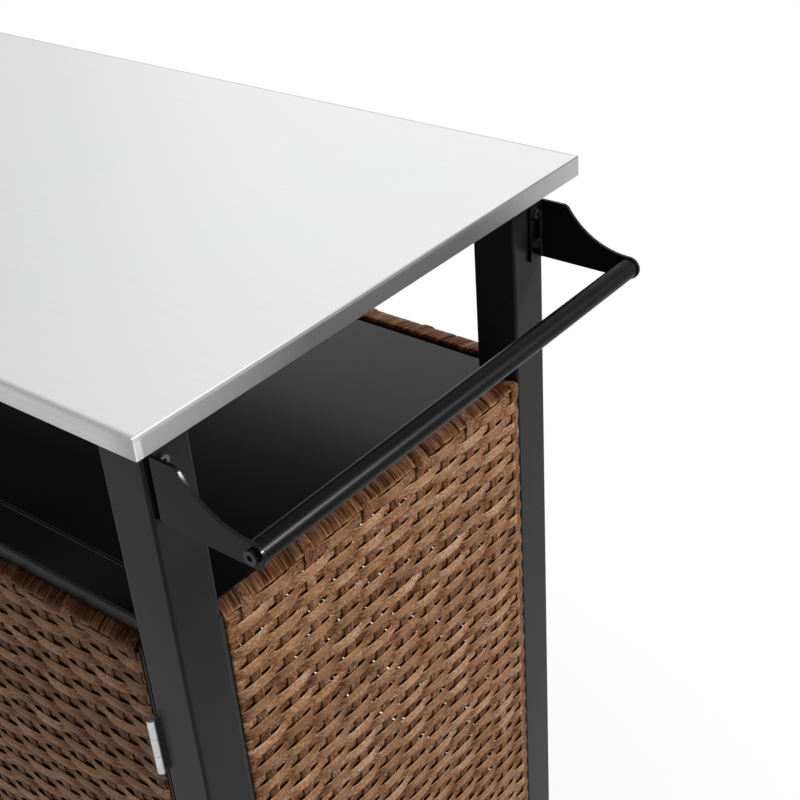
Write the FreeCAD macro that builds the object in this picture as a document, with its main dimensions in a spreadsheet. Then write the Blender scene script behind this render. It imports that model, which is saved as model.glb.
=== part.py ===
"""Outdoor kitchen cart: stainless worktop, steel tube frame, woven panels, two doors, handle, casters.

Millimetres, +Z up, +X towards the handle, -Y towards the doors.
The origin is on the floor, at the middle of the whole cart's plan.
"""
import FreeCAD, Part
import Sketcher
import os

doc = FreeCAD.newDocument("kitchen_cart")
sheet = doc.addObject("Spreadsheet::Sheet", "sizes")

SIZES = [
    ("top_length", 1050, "worktop along X"),
    ("top_depth", 470, "worktop along Y"),
    ("top_height", 880, "worktop surface above the floor"),
    ("skirt_height", 16, "turned-down edge of the worktop"),
    ("top_sheet", 1.2, "worktop sheet"),
    ("top_corner_radius", 1.6, "ground corners of the worktop"),
    ("top_bend_radius", 1.3, "fold along the worktop's edges"),
    ("end_overhang", 22.5, "worktop past the legs at each end"),
    ("side_overhang", 19.5, "worktop past the legs at front and back"),
    ("stud_diameter", 6, "weld studs under the worktop"),
    ("stud_length", 20, "weld studs under the worktop"),
    ("stud_clearance", 0.3, "stud in its rail, each side"),
    ("stud_inset", 60, "outer studs from the legs' inner faces"),
    ("nut_width", 10, "worktop nuts across the corners, half"),
    ("nut_height", 5, "worktop nuts"),
    ("leg_width", 40, "square leg tube"),
    ("leg_wall", 1.5, "leg tube wall"),
    ("leg_corner_radius", 2.5, "leg tube corners"),
    ("foot_plate", 6, "plate that closes the leg and takes the caster"),
    ("rail_wall", 1.5, "rail tube wall"),
    ("rail_corner_radius", 3, "rail tube corners"),
    ("upper_rail_width", 30, "rails under the worktop"),
    ("upper_rail_height", 12, "rails under the worktop"),
    ("front_rail_inset", 8, "front rails behind the legs' front faces"),
    ("front_rail_width", 35, "front rails of deck and base"),
    ("front_rail_height", 16, "front rails of deck and base"),
    ("back_rail_width", 14, "back rails of deck and base"),
    ("back_rail_height", 30, "back rails of deck and base"),
    ("deck_drop", 185, "deck below the worktop surface"),
    ("base_rise", 45, "bottom shelf above the legs' feet"),
    ("tray_sheet", 1.2, "deck and bottom shelf sheet"),
    ("tray_flange", 15, "turned-down edges of deck and shelf"),
    ("tray_bend_radius", 1.2, "fold along the trays' edges"),
    ("tray_end_gap", 2, "trays to the end panels"),
    ("tray_back_gap", 7, "trays to the back panel"),
    ("tray_notch_gap", 1, "trays to the back legs"),
    ("tray_screw_inset", 90, "tray screws from the trays' ends"),
    ("weave_thickness", 3, "woven skin of a panel"),
    ("frame_bar", 12, "frame bar of a panel, square"),
    ("wrap_thickness", 1.2, "resin strip wound round the top and bottom bars"),
    ("panel_gap", 0.5, "panel to the legs"),
    ("panel_rise", 25, "panels above the legs' feet"),
    ("rim_rise", 1.5, "panel rims above the deck"),
    ("panel_screw_inset", 70, "panel screws from the panels' ends"),
    ("door_gap", 4, "round and between the doors"),
    ("pin_diameter", 4, "hinge pin"),
    ("knuckle_diameter", 7, "hinge knuckles"),
    ("leaf_thickness", 1.4, "hinge leaves"),
    ("leaf_width", 14, "hinge leaves behind the front plane"),
    ("hinge_height", 51, "hinge leaves"),
    ("hinge_inset", 60, "hinges from the doors' top and foot"),
    ("hinge_play", 0.3, "between the knuckles, and round them"),
    ("running_clearance", 0.05, "pins, shafts and threads in their holes"),
    ("knob_diameter", 22, "door knob"),
    ("knob_projection", 18, "door knob in front of the door"),
    ("knob_stud_diameter", 5, "door knob stud"),
    ("knob_drop", 90, "door knob and the bar behind it below the door's top"),
    ("knob_inset", 30, "door knob from the door's free edge"),
    ("catch_length", 72, "double magnetic catch"),
    ("catch_depth", 14, "double magnetic catch"),
    ("catch_height", 12, "double magnetic catch"),
    ("catch_gap", 0.3, "catch to the strike plates"),
    ("strike_length", 26, "strike plates"),
    ("strike_height", 9, "strike plates"),
    ("strike_thickness", 1.5, "strike plates"),
    ("bracket_sheet", 2.5, "handle brackets"),
    ("bracket_bend_radius", 2, "inside of the brackets' fold"),
    ("bracket_inset", 3, "bracket arms inside the legs' side faces"),
    ("bracket_flange", 17, "bracket flange along the leg's end face"),
    ("bracket_height", 49.3, "bracket arm at the leg"),
    ("bracket_hollow_radius", 65, "hollow upper edge of the arm"),
    ("bracket_end_radius", 9, "round end of the arm"),
    ("bracket_corner_radius", 6, "upper corner of the arm"),
    ("bracket_screw_drop", 9, "upper bracket screw below the bracket's top"),
    ("bracket_screw_pitch", 25, "between the two bracket screws"),
    ("bracket_screw_offset", 10.5, "bracket screws from the arm's outer face"),
    ("bar_reach", 82, "handle bar out from the legs' end faces"),
    ("bar_drop", 72, "handle bar below the worktop surface"),
    ("bar_diameter", 16, "handle bar tube"),
    ("bar_wall", 1.5, "handle bar tube wall"),
    ("insert_length", 20, "threaded inserts in the handle bar"),
    ("screw_diameter", 4, "panel and tray screws"),
    ("bracket_screw_diameter", 5, "bracket screws"),
    ("bar_screw_diameter", 6, "handle bar screws"),
    ("screw_bite", 4, "screws past the wall that they hold in"),
    ("wheel_diameter", 75, "caster wheels"),
    ("wheel_width", 24, "caster wheels"),
    ("wheel_rim", 11, "caster tread and rim, radially"),
    ("wheel_web", 8, "caster wheel web"),
    ("hub_diameter", 22, "caster wheel hub"),
    ("hub_side_gap", 1, "hub to the fork cheeks"),
    ("axle_diameter", 8, "caster axle"),
    ("axle_head_height", 4, "caster axle heads"),
    ("axle_head_diameter", 13, "caster axle heads"),
    ("caster_trail", 28, "caster axle behind the swivel axis"),
    ("fork_sheet", 3, "caster fork"),
    ("fork_headroom", 9, "wheel to the fork's top plate"),
    ("fork_nose", 19, "fork ahead of the swivel axis"),
    ("fork_tail", 24, "fork top plate behind the swivel axis"),
    ("fork_cheek_depth", 9, "front edge of the fork cheeks"),
    ("fork_end_radius", 12, "fork cheeks round the axle"),
    ("race_diameter", 34, "upper race of the swivel"),
    ("race_height", 7, "upper race of the swivel"),
    ("stem_collar_diameter", 18, "collar under the leg"),
    ("stem_collar_height", 6, "collar under the leg"),
    ("stem_diameter", 10, "caster stem and kingpin"),
    ("stem_length", 25, "caster stem in the leg"),
    ("kingpin_head_diameter", 17, "kingpin head under the fork plate"),
    ("kingpin_head_height", 3, "kingpin head under the fork plate"),
    ("swivel_play", 0.3, "fork plate between race and kingpin head"),
    ("brake_width", 20, "brake pedal between the cheeks"),
    ("brake_pin_diameter", 4, "brake pedal pivot"),
    ("brake_pivot_back", 10, "brake pivot ahead of the axle"),
    ("brake_pivot_rise", 4, "brake pivot above the wheel"),
    ("brake_length", 44, "brake pedal from pivot to tip"),
]
for row, (alias, value, note) in enumerate(SIZES, start=1):
    sheet.set(f"A{row}", note)
    sheet.set(f"B{row}", str(value))
    sheet.setAlias(f"B{row}", alias)
doc.recompute()

# Places that several pieces share, as formulas of the sizes.
handle_reach = "(sizes.bar_reach + sizes.bracket_end_radius - sizes.end_overhang)"
top_left = f"(-(sizes.top_length + {handle_reach}) / 2)"
top_right = f"({top_left} + sizes.top_length)"
middle = f"({top_left} + sizes.top_length / 2)"
leg_out_left = f"({top_left} + sizes.end_overhang)"
leg_in_left = f"({leg_out_left} + sizes.leg_width)"
leg_out_right = f"({top_right} - sizes.end_overhang)"
leg_in_right = f"({leg_out_right} - sizes.leg_width)"
leg_out_back = "(sizes.top_depth / 2 - sizes.side_overhang)"
leg_in_back = f"({leg_out_back} - sizes.leg_width)"
leg_out_front = f"(-{leg_out_back})"
leg_in_front = f"(-{leg_in_back})"
between_legs_x = f"({leg_in_right} - {leg_in_left})"
between_legs_y = f"({leg_in_back} - {leg_in_front})"

axle_height = "(sizes.wheel_diameter / 2)"
plate_under = "(sizes.wheel_diameter + sizes.fork_headroom)"
plate_top = f"({plate_under} + sizes.fork_sheet)"
race_under = f"({plate_top} + sizes.swivel_play)"
leg_foot = f"({race_under} + sizes.race_height + sizes.stem_collar_height)"
sheet_under = "(sizes.top_height - sizes.top_sheet)"
deck_top = "(sizes.top_height - sizes.deck_drop)"
base_top = f"({leg_foot} + sizes.base_rise)"
panel_foot = f"({leg_foot} + sizes.panel_rise)"
panel_top = f"({deck_top} + sizes.rim_rise)"
door_foot = f"({base_top} + sizes.door_gap)"
door_top = f"({deck_top} - sizes.front_rail_height - sizes.door_gap)"
bracket_foot = "(sizes.top_height - sizes.bar_drop - sizes.bracket_end_radius)"

panel_depth = "(sizes.weave_thickness + sizes.frame_bar)"
end_panel_width = f"({between_legs_y} - 2 * sizes.panel_gap)"
back_panel_width = f"({between_legs_x} - 2 * sizes.panel_gap)"
panel_height = f"({panel_top} - {panel_foot})"
panel_frame_foot = f"({panel_foot} + sizes.wrap_thickness)"
panel_frame_height = f"({panel_height} - 2 * sizes.wrap_thickness)"
door_width = f"(({between_legs_x} - 3 * sizes.door_gap) / 2)"
door_height = f"({door_top} - {door_foot})"
door_frame_foot = f"({door_foot} + sizes.wrap_thickness)"
door_frame_height = f"({door_height} - 2 * sizes.wrap_thickness)"
door_back = f"({leg_out_front} + {panel_depth})"

screw_hole = "(sizes.screw_diameter + 2 * sizes.running_clearance)"

# A tube's length runs along one axis; its two sides then follow in the order X, Y, Z, X, Y.
TURNS = {
    "X": FreeCAD.Rotation(FreeCAD.Vector(1, 1, 1), 120),
    "Y": FreeCAD.Rotation(FreeCAD.Vector(1, 1, 1), 240),
    "Z": FreeCAD.Rotation(),
}
# Turns that point a piece's own +Z the named way.
POINTING = {
    "+X": FreeCAD.Rotation(FreeCAD.Vector(0, 1, 0), 90),
    "-X": FreeCAD.Rotation(FreeCAD.Vector(0, 1, 0), -90),
    "+Y": FreeCAD.Rotation(FreeCAD.Vector(1, 0, 0), -90),
    "-Y": FreeCAD.Rotation(FreeCAD.Vector(1, 0, 0), 90),
    "+Z": FreeCAD.Rotation(),
}
nodes = []


def number(formula):
    """The value of a formula of the sizes."""
    return float(sheet.evalExpression(str(formula)))


def place(piece, x, y, z, turn=None):
    """Put a piece's own origin at formulas of the sizes."""
    if turn is not None:
        piece.Placement = FreeCAD.Placement(FreeCAD.Vector(), turn)
    for axis, formula in zip("xyz", (x, y, z)):
        piece.setExpression(f"Placement.Base.{axis}", str(formula))
    return piece


def node(piece, label):
    """Name a finished piece."""
    piece.Label = label
    nodes.append(piece)
    return piece


def new_body(label):
    return node(doc.addObject("PartDesign::Body", label), label)


def sketch_on(body, role, offset=None):
    """A sketch on one of the body's own origin planes, or at a distance along its normal."""
    plane = next(p for p in body.Origin.OriginFeatures if p.Role == role)
    sketch = body.newObject("Sketcher::SketchObject", "sketch")
    sketch.AttachmentSupport = [(plane, "")]
    sketch.MapMode = "FlatFace"
    if offset is not None:
        sketch.setExpression("AttachmentOffset.Base.z", str(offset))
    return sketch


def pin_down(sketch, shape, point, x, y):
    """Hold one point of a sketched shape at formulas of the sizes."""
    for kind, axis, formula in (("DistanceX", -2, x), ("DistanceY", -1, y)):
        if formula == 0:
            sketch.addConstraint(Sketcher.Constraint("PointOnObject", shape, point, axis))
        else:
            rule = Sketcher.Constraint(kind, -1, 1, shape, point, number(formula))
            sketch.setExpression(f"Constraints[{sketch.addConstraint(rule)}]", str(formula))


def outline(sketch, points, arcs=None):
    """A closed outline through points, with arcs for some of its sides.

    Side i runs from point i to the next one. arcs maps a side's number to the axis along which its
    centre is held, the centre's place on that axis, and 1 where the arc turns left, else -1.
    """
    arcs = arcs or {}
    spots = [FreeCAD.Vector(number(x), number(y), 0) for x, y in points]
    first = sketch.GeometryCount
    count = len(points)
    ends = {}
    for side in range(count):
        start, stop = spots[side], spots[(side + 1) % count]
        if side in arcs:
            axis, held, sense = arcs[side]
            chord = stop - start
            half = start + chord * 0.5
            across = FreeCAD.Vector(-chord.y, chord.x, 0)
            away, slope = (half.x, across.x) if axis == "X" else (half.y, across.y)
            centre = half + across * ((number(held) - away) / slope)
            round_path = Part.Circle(centre, FreeCAD.Vector(0, 0, 1), (start - centre).Length)
            span = (start, stop) if sense > 0 else (stop, start)
            arc = Part.ArcOfCircle(round_path, *[round_path.parameter(spot) for spot in span])
            rule = Sketcher.Constraint(f"Distance{axis}", -1, 1, sketch.addGeometry(arc), 3, number(held))
            sketch.setExpression(f"Constraints[{sketch.addConstraint(rule)}]", str(held))
            ends[side] = (1, 2) if sense > 0 else (2, 1)
        else:
            sketch.addGeometry(Part.LineSegment(start, stop))
            ends[side] = (1, 2)
    for side in range(count):
        follower = (side + 1) % count
        rule = Sketcher.Constraint("Coincident", first + side, ends[side][1],
                                   first + follower, ends[follower][0])
        sketch.addConstraint(rule)
        pin_down(sketch, first + side, ends[side][0], *points[side])


def rectangle(sketch, x0, y0, x1, y1):
    outline(sketch, [(x0, y0), (x1, y0), (x1, y1), (x0, y1)])


def circle(sketch, x, y, diameter):
    spot = FreeCAD.Vector(number(x), number(y), 0)
    shape = sketch.addGeometry(Part.Circle(spot, FreeCAD.Vector(0, 0, 1), number(diameter) / 2))
    pin_down(sketch, shape, 3, x, y)
    rule = Sketcher.Constraint("Diameter", shape, number(diameter))
    sketch.setExpression(f"Constraints[{sketch.addConstraint(rule)}]", str(diameter))


def pad(body, sketch, length, flip=False, both_ways=False):
    feature = body.newObject("PartDesign::Pad", "pad")
    feature.Profile = sketch
    feature.setExpression("Length", str(length))
    feature.Reversed = flip
    if both_ways:
        feature.SideType = "Symmetric"
    doc.recompute()
    return feature


def pocket(body, sketch, depth=None, flip=False):
    """Cut a sketch to a depth, or right through both ways; stops if nothing was cut."""
    before = body.Shape.Volume
    feature = body.newObject("PartDesign::Pocket", "pocket")
    feature.Profile = sketch
    if depth is None:
        feature.Type = "ThroughAll"
        feature.SideType = "Symmetric"
    else:
        feature.setExpression("Length", str(depth))
        feature.Reversed = flip
    doc.recompute()
    if not body.Shape.Volume < before - 1e-3:
        raise RuntimeError(f"{body.Label}: a pocket cut nothing")
    return feature


def revolve(body, points):
    """Turn a half section, given as radius and height, about the body's own Z axis."""
    sketch = sketch_on(body, "XZ_Plane")
    outline(sketch, points)
    feature = body.newObject("PartDesign::Revolution", "turned")
    feature.Profile = sketch
    feature.ReferenceAxis = (sketch, ["V_Axis"])
    feature.Angle = 360
    doc.recompute()
    return feature


def round_edges(body, radius, chosen):
    """Round the edges of the body's last feature for which chosen(bounding box) holds."""
    base = body.Tip
    names = [f"Edge{i}" for i, edge in enumerate(base.Shape.Edges, 1) if chosen(edge.BoundBox)]
    if not names:
        raise RuntimeError(f"{body.Label}: no edge to round")
    feature = body.newObject("PartDesign::Fillet", "round")
    feature.Base = (base, names)
    feature.setExpression("Radius", str(radius))
    doc.recompute()
    return feature


def same(a, b):
    return abs(a - b) < 1e-4


def on_outside(box, width, height):
    """True for an edge along Z at one of the four corners of a section from 0 to width and height."""
    at_side = same(box.XMin, 0) or same(box.XMax, width)
    at_end = same(box.YMin, 0) or same(box.YMax, height)
    return same(box.XLength, 0) and same(box.YLength, 0) and at_side and at_end


def drill(body, role, spots, diameter, depth=None, offset=None, flip=False):
    """Round holes at spots of an origin plane."""
    sketch = sketch_on(body, role, offset)
    for x, y in spots:
        circle(sketch, x, y, diameter)
    pocket(body, sketch, depth, flip)


def tube(label, along, sides, length, at):
    """A rectangular steel tube with soft corners, from its lowest corner."""
    width, height = sides
    wall = "sizes.rail_wall"
    body = new_body(label)
    section = sketch_on(body, "XY_Plane")
    rectangle(section, 0, 0, width, height)
    rectangle(section, wall, wall, f"{width} - {wall}", f"{height} - {wall}")
    pad(body, section, length)
    wide, high = number(width), number(height)
    round_edges(body, "sizes.rail_corner_radius", lambda box: on_outside(box, wide, high))
    return place(body, *at, TURNS[along])


def block(label, size, at, holes=()):
    """A plain slab; holes are finished cutters in the cart's own frame."""
    slab = doc.addObject("Part::Box", "slab")
    for name, formula in zip(("Length", "Width", "Height"), size):
        slab.setExpression(name, str(formula))
    place(slab, *at)
    return node(cut(slab, holes), label)


def cut(base, cutters):
    for cutter in cutters:
        result = doc.addObject("Part::Cut", "cut")
        result.Base, result.Tool = base, cutter
        base = result
    return base


def fuse(pieces):
    result = doc.addObject("Part::MultiFuse", "fuse")
    result.Shapes = pieces
    return result


def rod(diameter, length, at, pointing="+Z"):
    """A round rod from a point, the named way."""
    piece = doc.addObject("Part::Cylinder", "rod")
    piece.setExpression("Radius", f"({diameter}) / 2")
    piece.setExpression("Height", str(length))
    return place(piece, *at, POINTING[pointing])


def hexagon(corner_radius, height, at):
    piece = doc.addObject("Part::Prism", "hexagon")
    piece.Polygon = 6
    piece.setExpression("Circumradius", str(corner_radius))
    piece.setExpression("Height", str(height))
    return place(piece, *at)


def screw(diameter, length, at, pointing):
    """A round-headed socket screw; its head's seat is at the point and its head points the named way."""
    head_height = f"({diameter} * 0.5)"
    head = rod(f"{diameter} * 1.7", head_height, (0, 0, 0))
    shank = rod(diameter, length, (0, 0, f"-({length})"))
    socket = hexagon(f"{diameter} * 0.38", head_height, (0, 0, f"{diameter} * 0.2"))
    return place(cut(fuse([head, shank]), [socket]), *at, POINTING[pointing])


def group(label, pieces):
    result = doc.addObject("Part::Compound", label)
    result.Links = pieces
    return node(result, label)


# Worktop: a folded sheet with studs welded under it, which pass through the upper rails.
stud_x = [f"({leg_in_left} + sizes.stud_inset)", middle, f"({leg_in_right} - sizes.stud_inset)"]
stud_y = [f"({leg_out_front} + sizes.leg_width / 2)", f"({leg_out_back} - sizes.leg_width / 2)"]
stud_hole = "(sizes.stud_diameter + 2 * sizes.stud_clearance)"


def worktop():
    body = new_body("worktop")
    length, depth, skin = "sizes.top_length", "sizes.top_depth", "sizes.top_sheet"
    plan = sketch_on(body, "XY_Plane")
    rectangle(plan, 0, 0, length, depth)
    pad(body, plan, "sizes.skirt_height")
    long, deep, high = number(length), number(depth), number("sizes.skirt_height")
    round_edges(body, "sizes.top_corner_radius", lambda box: on_outside(box, long, deep))
    round_edges(body, "sizes.top_bend_radius", lambda box: same(box.ZMin, high))
    inside = sketch_on(body, "XY_Plane")
    turn = "sizes.top_corner_radius"
    far_x, far_y = f"{length} - {skin}", f"{depth} - {skin}"
    turn_x, turn_y = f"{length} - {turn}", f"{depth} - {turn}"
    outline(inside, [(turn, skin), (turn_x, skin), (far_x, turn), (far_x, turn_y),
                     (turn_x, far_y), (turn, far_y), (skin, turn_y), (skin, turn)],
            {1: ("X", turn_x, 1), 3: ("X", turn_x, 1), 5: ("X", turn, 1), 7: ("X", turn, 1)})
    pocket(body, inside, f"sizes.skirt_height - {skin}", flip=True)
    studs = sketch_on(body, "XY_Plane", f"sizes.skirt_height - {skin}")
    for x in stud_x:
        for y in stud_y:
            circle(studs, f"{x} - {top_left}", f"{y} + {depth} / 2", "sizes.stud_diameter")
    pad(body, studs, "sizes.stud_length", flip=True)
    place(body, top_left, f"-{depth} / 2", "sizes.top_height - sizes.skirt_height")


def upper_rails():
    sides_x = ("sizes.upper_rail_width", "sizes.upper_rail_height")
    sides_y = ("sizes.upper_rail_height", "sizes.upper_rail_width")
    inset = "(sizes.leg_width - sizes.upper_rail_width) / 2"
    foot = f"{sheet_under} - sizes.upper_rail_height"
    for label, y in (("upper_rail_front", f"{leg_out_front} + {inset}"),
                     ("upper_rail_back", f"{leg_in_back} + {inset}")):
        rail = tube(label, "X", sides_x, between_legs_x, (leg_in_left, y, foot))
        spots = [("sizes.upper_rail_width / 2", f"{x} - {leg_in_left}") for x in stud_x]
        drill(rail, "XZ_Plane", spots, stud_hole)
    for label, x in (("upper_rail_left", f"{leg_out_left} + {inset}"),
                     ("upper_rail_right", f"{leg_in_right} + {inset}")):
        tube(label, "Y", sides_y, between_legs_y, (x, leg_in_front, foot))


def worktop_nuts():
    foot = f"{sheet_under} - sizes.upper_rail_height - sizes.nut_height"
    bore = "sizes.stud_diameter + 2 * sizes.running_clearance"
    pieces = []
    for x in stud_x:
        for y in stud_y:
            nut = hexagon("sizes.nut_width / 2", "sizes.nut_height", (x, y, foot))
            pieces.append(cut(nut, [rod(bore, "sizes.nut_height", (x, y, foot))]))
    group("worktop_nuts", pieces)


# Legs: square tubes, closed at the foot by a plate with the caster's threaded hole.
panel_screw_heights = [f"({panel_foot} + sizes.panel_screw_inset)", f"({panel_top} - sizes.panel_screw_inset)"]
bracket_screw_heights = [
    f"({bracket_foot} + sizes.bracket_height - sizes.bracket_screw_drop)",
    f"({bracket_foot} + sizes.bracket_height - sizes.bracket_screw_drop - sizes.bracket_screw_pitch)",
]
panel_screw_depth = "(sizes.weave_thickness + sizes.frame_bar / 2)"
wall_depth = "(sizes.leg_wall * 1.5)"


def leg(at_back, at_right):
    """One leg. Its own X and Y run as the cart's do, from its front left corner."""
    width = "sizes.leg_width"
    label = f"leg_{'back' if at_back else 'front'}_{'right' if at_right else 'left'}"
    body = new_body(label)
    section = sketch_on(body, "XY_Plane")
    rectangle(section, 0, 0, width, width)
    height = f"({sheet_under} - {leg_foot})"
    pad(body, section, height)
    wide = number(width)
    round_edges(body, "sizes.leg_corner_radius", lambda box: on_outside(box, wide, wide))
    bore = sketch_on(body, "XY_Plane", height)
    wall = "sizes.leg_wall"
    rectangle(bore, wall, wall, f"{width} - {wall}", f"{width} - {wall}")
    pocket(body, bore, f"{height} - sizes.foot_plate")
    stem_hole = "sizes.stem_diameter + 2 * sizes.running_clearance"
    drill(body, "XY_Plane", [(f"{width} / 2", f"{width} / 2")], stem_hole, "sizes.foot_plate", flip=True)
    # The end panel is screwed to the face that looks along Y, a back leg's back panel to the one along X.
    side = f"{width} - {panel_screw_depth}" if at_right else panel_screw_depth
    spots = [(side, f"{z} - {leg_foot}") for z in panel_screw_heights]
    face = None if at_back else f"-{width}"
    drill(body, "XZ_Plane", spots, screw_hole, wall_depth, face, flip=not at_back)
    if at_back:
        spots = [(f"{width} - {panel_screw_depth}", f"{z} - {leg_foot}") for z in panel_screw_heights]
        face = None if at_right else width
        drill(body, "YZ_Plane", spots, screw_hole, wall_depth, face, flip=at_right)
    if at_right:
        across = "(sizes.bracket_inset + sizes.bracket_screw_offset)"
        side = f"{width} - {across}" if at_back else across
        spots = [(side, f"{z} - {leg_foot}") for z in bracket_screw_heights]
        hole = "sizes.bracket_screw_diameter + 2 * sizes.running_clearance"
        drill(body, "YZ_Plane", spots, hole, wall_depth, width)
    x = leg_in_right if at_right else leg_out_left
    y = leg_in_back if at_back else leg_out_front
    place(body, x, y, leg_foot)


# Deck and bottom shelf: trays between a front rail and a back rail, hooked over the back rail.
tray_left = f"({leg_out_left} + {panel_depth} + sizes.tray_end_gap)"
tray_right = f"({leg_out_right} - {panel_depth} - sizes.tray_end_gap)"
tray_length = f"({tray_right} - {tray_left})"
tray_back = f"({leg_out_back} - {panel_depth} - sizes.tray_back_gap)"
front_rail_front = f"({leg_out_front} + sizes.front_rail_inset)"
tray_front = f"({front_rail_front} + sizes.front_rail_width)"
tray_depth = f"({tray_back} - {tray_front})"
tray_screw_x = [f"({tray_left} + sizes.tray_screw_inset)", middle, f"({tray_right} - sizes.tray_screw_inset)"]


def tray_screw_height(top):
    return f"({top} - sizes.tray_flange / 2)"


def tray(label, top):
    body = new_body(label)
    skin = "sizes.tray_sheet"
    far_x, far_y = tray_length, tray_depth
    notch_y = f"({leg_in_back} - sizes.tray_notch_gap - {tray_front})"
    notch_x = f"({leg_in_left} + sizes.tray_notch_gap - {tray_left})"
    plan = sketch_on(body, "XY_Plane")
    outline(plan, [(0, 0), (far_x, 0), (far_x, notch_y), (f"{far_x} - {notch_x}", notch_y),
                   (f"{far_x} - {notch_x}", far_y), (notch_x, far_y), (notch_x, notch_y), (0, notch_y)])
    pad(body, plan, "sizes.tray_flange")
    high = number("sizes.tray_flange")
    round_edges(body, "sizes.tray_bend_radius", lambda box: same(box.ZMin, high))
    inside = sketch_on(body, "XY_Plane")
    step_y = f"{notch_y} - {skin}"
    outline(inside, [(skin, skin), (f"{far_x} - {skin}", skin), (f"{far_x} - {skin}", step_y),
                     (f"{far_x} - {notch_x}", step_y), (f"{far_x} - {notch_x}", f"{far_y} - {skin}"),
                     (notch_x, f"{far_y} - {skin}"), (notch_x, step_y), (skin, step_y)])
    pocket(body, inside, f"sizes.tray_flange - {skin}", flip=True)
    spots = [(f"{x} - {tray_left}", "sizes.tray_flange / 2") for x in tray_screw_x]
    drill(body, "XZ_Plane", spots, screw_hole, f"{skin} * 1.5")
    place(body, tray_left, tray_front, f"{top} - sizes.tray_flange")


def tray_rails(name, top):
    front_z = f"{top} - sizes.front_rail_height"
    sides = ("sizes.front_rail_width", "sizes.front_rail_height")
    front = tube(f"{name}_rail_front", "X", sides, between_legs_x, (leg_in_left, front_rail_front, front_z))
    height = f"{tray_screw_height(top)} - ({front_z})"
    spots = [(height, f"{x} - {leg_in_left}") for x in tray_screw_x]
    drill(front, "YZ_Plane", spots, screw_hole, "sizes.rail_wall * 1.5", "sizes.front_rail_width")
    back_y = f"{tray_back} - sizes.tray_sheet - sizes.back_rail_width"
    back_z = f"{top} - sizes.tray_sheet - sizes.back_rail_height"
    sides = ("sizes.back_rail_width", "sizes.back_rail_height")
    tube(f"{name}_rail_back", "X", sides, between_legs_x, (leg_in_left, back_y, back_z))


def tray_screws():
    reach = "sizes.tray_sheet + sizes.rail_wall + sizes.screw_bite"
    seat = f"{tray_front} + sizes.tray_sheet"
    group("tray_screws", [screw("sizes.screw_diameter", reach, (x, seat, tray_screw_height(top)), "+Y")
                          for top in (deck_top, base_top) for x in tray_screw_x])


# Panels and doors: a frame of square bar with a woven skin on its outer face.
def frame(label, along, sides, at, across_first=None, across_second=None):
    """A flat frame of square bar, its sides in the order that a tube's are.

    One more bar may cross it, with its middle at a place along the first or the second side.
    """
    bar = "sizes.frame_bar"
    first, second = sides
    body = new_body(label)
    plan = sketch_on(body, "XY_Plane")
    rectangle(plan, 0, 0, first, second)
    for low_1, high_1 in windows(first, across_first):
        for low_2, high_2 in windows(second, across_second):
            rectangle(plan, low_1, low_2, high_1, high_2)
    pad(body, plan, bar)
    return place(body, *at, TURNS[along])


def windows(side, crossed_at):
    """The open stretches between the bars along one side of a frame."""
    bar = "sizes.frame_bar"
    ends = (bar, f"{side} - {bar}")
    if crossed_at is None:
        return [ends]
    return [(ends[0], f"{crossed_at} - {bar} / 2"), (f"{crossed_at} + {bar} / 2", ends[1])]


def end_panels():
    """Each end panel's skin lies flush with the legs' end faces, its frame behind it."""
    y = f"{leg_in_front} + sizes.panel_gap"
    heights = [f"{z} - {panel_frame_foot}" for z in panel_screw_heights]
    for name, frame_x, skin_x in (
            ("left", f"{leg_out_left} + sizes.weave_thickness", leg_out_left),
            ("right", f"{leg_out_right} - {panel_depth}", f"{leg_out_right} - sizes.weave_thickness")):
        body = frame(f"end_panel_frame_{name}", "X", (end_panel_width, panel_frame_height),
                     (frame_x, y, panel_frame_foot))
        drill(body, "YZ_Plane", [(h, "sizes.frame_bar / 2") for h in heights], screw_hole)
        block(f"end_panel_weave_{name}", ("sizes.weave_thickness", end_panel_width, panel_height),
              (skin_x, y, panel_foot))


def back_panel():
    x = f"{leg_in_left} + sizes.panel_gap"
    at = (x, f"{leg_out_back} - {panel_depth}", panel_frame_foot)
    sides = (panel_frame_height, back_panel_width)
    body = frame("back_panel_frame", "Y", sides, at, across_second=f"{back_panel_width} / 2")
    spots = [(f"{z} - {panel_frame_foot}", "sizes.frame_bar / 2") for z in panel_screw_heights]
    drill(body, "XZ_Plane", spots, screw_hole, "sizes.frame_bar")
    drill(body, "XZ_Plane", spots, screw_hole, "sizes.frame_bar", f"-{back_panel_width}", flip=True)
    block("back_panel_weave", (back_panel_width, "sizes.weave_thickness", panel_height),
          (x, f"{leg_out_back} - sizes.weave_thickness", panel_foot))


def panel_screws():
    reach = "sizes.frame_bar + sizes.panel_gap + sizes.leg_wall + sizes.screw_bite"
    inset = "(sizes.panel_gap + sizes.frame_bar)"
    pieces = []
    for z in panel_screw_heights:
        for x in (f"{leg_out_left} + {panel_screw_depth}", f"{leg_out_right} - {panel_screw_depth}"):
            pieces.append(screw("sizes.screw_diameter", reach, (x, f"{leg_in_front} + {inset}", z), "+Y"))
            pieces.append(screw("sizes.screw_diameter", reach, (x, f"{leg_in_back} - {inset}", z), "-Y"))
        y = f"{leg_out_back} - {panel_screw_depth}"
        pieces.append(screw("sizes.screw_diameter", reach, (f"{leg_in_left} + {inset}", y, z), "+X"))
        pieces.append(screw("sizes.screw_diameter", reach, (f"{leg_in_right} - {inset}", y, z), "-X"))
    group("panel_screws", pieces)


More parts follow.
